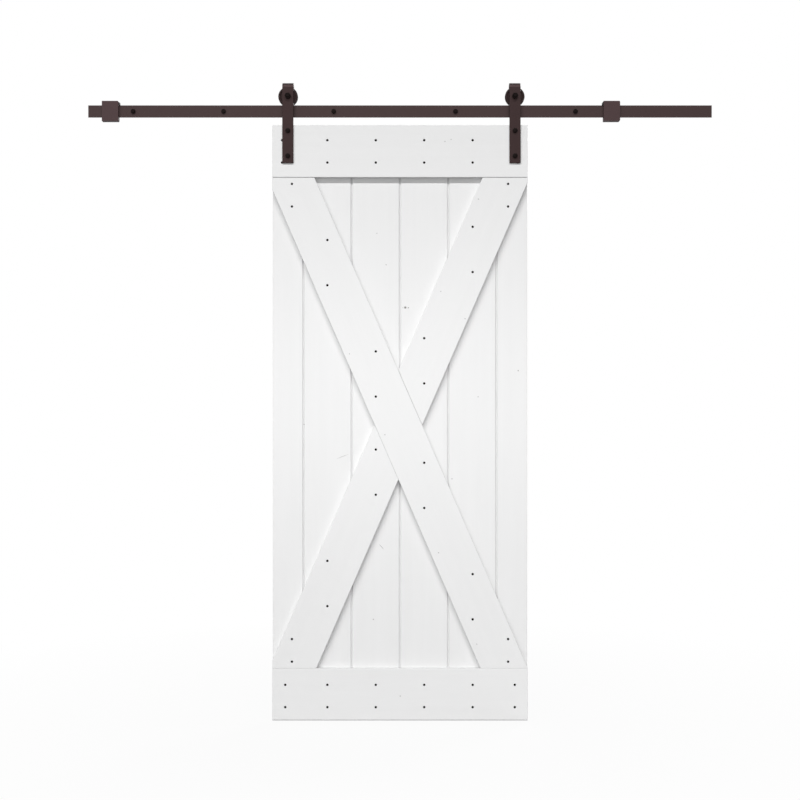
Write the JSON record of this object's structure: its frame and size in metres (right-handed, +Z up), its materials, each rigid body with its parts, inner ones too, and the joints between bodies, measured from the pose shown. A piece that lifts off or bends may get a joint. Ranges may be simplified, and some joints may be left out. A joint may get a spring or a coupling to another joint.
{
  "type": "sliding barn door",
  "caption": "Sliding barn door leaf of upright boards with rails and an X brace, hung by bent straps and grooved wheels from a flat wall track with end stops.",
  "frame": {"origin": "middle of the floor guide groove's mouth, on the leaf's bottom edge at mid thickness", "axes": "+X to the right along the track, +Y back towards the wall, +Z up; the front faces -Y"},
  "size_m": [2.238, 0.1177, 2.2858],
  "materials": {
    "painted_board": "off-white satin paint over fine wood grain, small marks",
    "black_screw": "black oxide",
    "strap_steel": "dark bronze powder coat, lighter at the bend and edges",
    "black_fastener": "near-black satin",
    "zinc_hardware": "zinc plated",
    "bearing_steel": "ground steel",
    "bearing_seal": "matt black rubber",
    "ring_steel": "phosphated spring steel",
    "wheel_steel": "dark bronze coat, tread polished by the track",
    "stop_steel": "dark bronze powder coat",
    "track_steel": "dark bronze powder coat",
    "bumper_rubber": "matt dark rubber"
  },
  "bodies": {
    "track": {"track": "track_steel", "standoffs": "track_steel", "lag_bolts": "black_fastener", "lag_washers": "black_fastener", "left_stop": "stop_steel", "right_stop": "stop_steel", "left_bumper": "bumper_rubber", "right_bumper": "bumper_rubber", "stop_screws": "black_fastener"},
    "door": {"plank_1": "painted_board", "plank_2": "painted_board", "plank_3": "painted_board", "plank_4": "painted_board", "plank_5": "painted_board", "plank_6": "painted_board", "top_rail": "painted_board", "bottom_rail": "painted_board", "long_brace": "painted_board", "upper_short_brace": "painted_board", "lower_short_brace": "painted_board", "top_rail_screws": "black_screw", "bottom_rail_screws": "black_screw", "brace_screws": "black_screw", "left_strap": "strap_steel", "left_axle_bolt": "black_fastener", "left_axle_nut": "black_fastener", "left_axle_sleeves": "zinc_hardware", "left_inner_race": "bearing_steel", "left_strap_bolts": "black_fastener", "left_strap_washers": "zinc_hardware", "left_strap_nuts": "zinc_hardware", "right_strap": "strap_steel", "right_axle_bolt": "black_fastener", "right_axle_nut": "black_fastener", "right_axle_sleeves": "zinc_hardware", "right_inner_race": "bearing_steel", "right_strap_bolts": "black_fastener", "right_strap_washers": "zinc_hardware", "right_strap_nuts": "zinc_hardware"},
    "left_wheel": {"left_wheel": "wheel_steel", "left_outer_race": "bearing_steel", "left_bearing_balls": "bearing_steel", "left_ball_cage": "bearing_steel", "left_bearing_seals": "bearing_seal", "left_retaining_ring": "ring_steel"},
    "right_wheel": {"right_wheel": "wheel_steel", "right_outer_race": "bearing_steel", "right_bearing_balls": "bearing_steel", "right_ball_cage": "bearing_steel", "right_bearing_seals": "bearing_seal", "right_retaining_ring": "ring_steel"}
  },
  "joints": [
    {"name": "door_slide", "type": "slide", "parent": "track", "child": "door", "axis": [1, 0, 0], "range_m": [-0.576, 0.286]},
    {"name": "left_wheel_spin", "type": "hinge", "parent": "door", "child": "left_wheel", "pos_m": [-0.4015, -0.005, 2.2366], "axis": [0, 1, 0], "continuous": true},
    {"name": "right_wheel_spin", "type": "hinge", "parent": "door", "child": "right_wheel", "pos_m": [0.4118, -0.005, 2.2366], "axis": [0, 1, 0], "continuous": true}
  ],
  "couplings": [
    {"joint": "left_wheel_spin", "follows": "door_slide", "rad_per_m": 32.895},
    {"joint": "right_wheel_spin", "follows": "door_slide", "rad_per_m": 32.895}
  ]
}
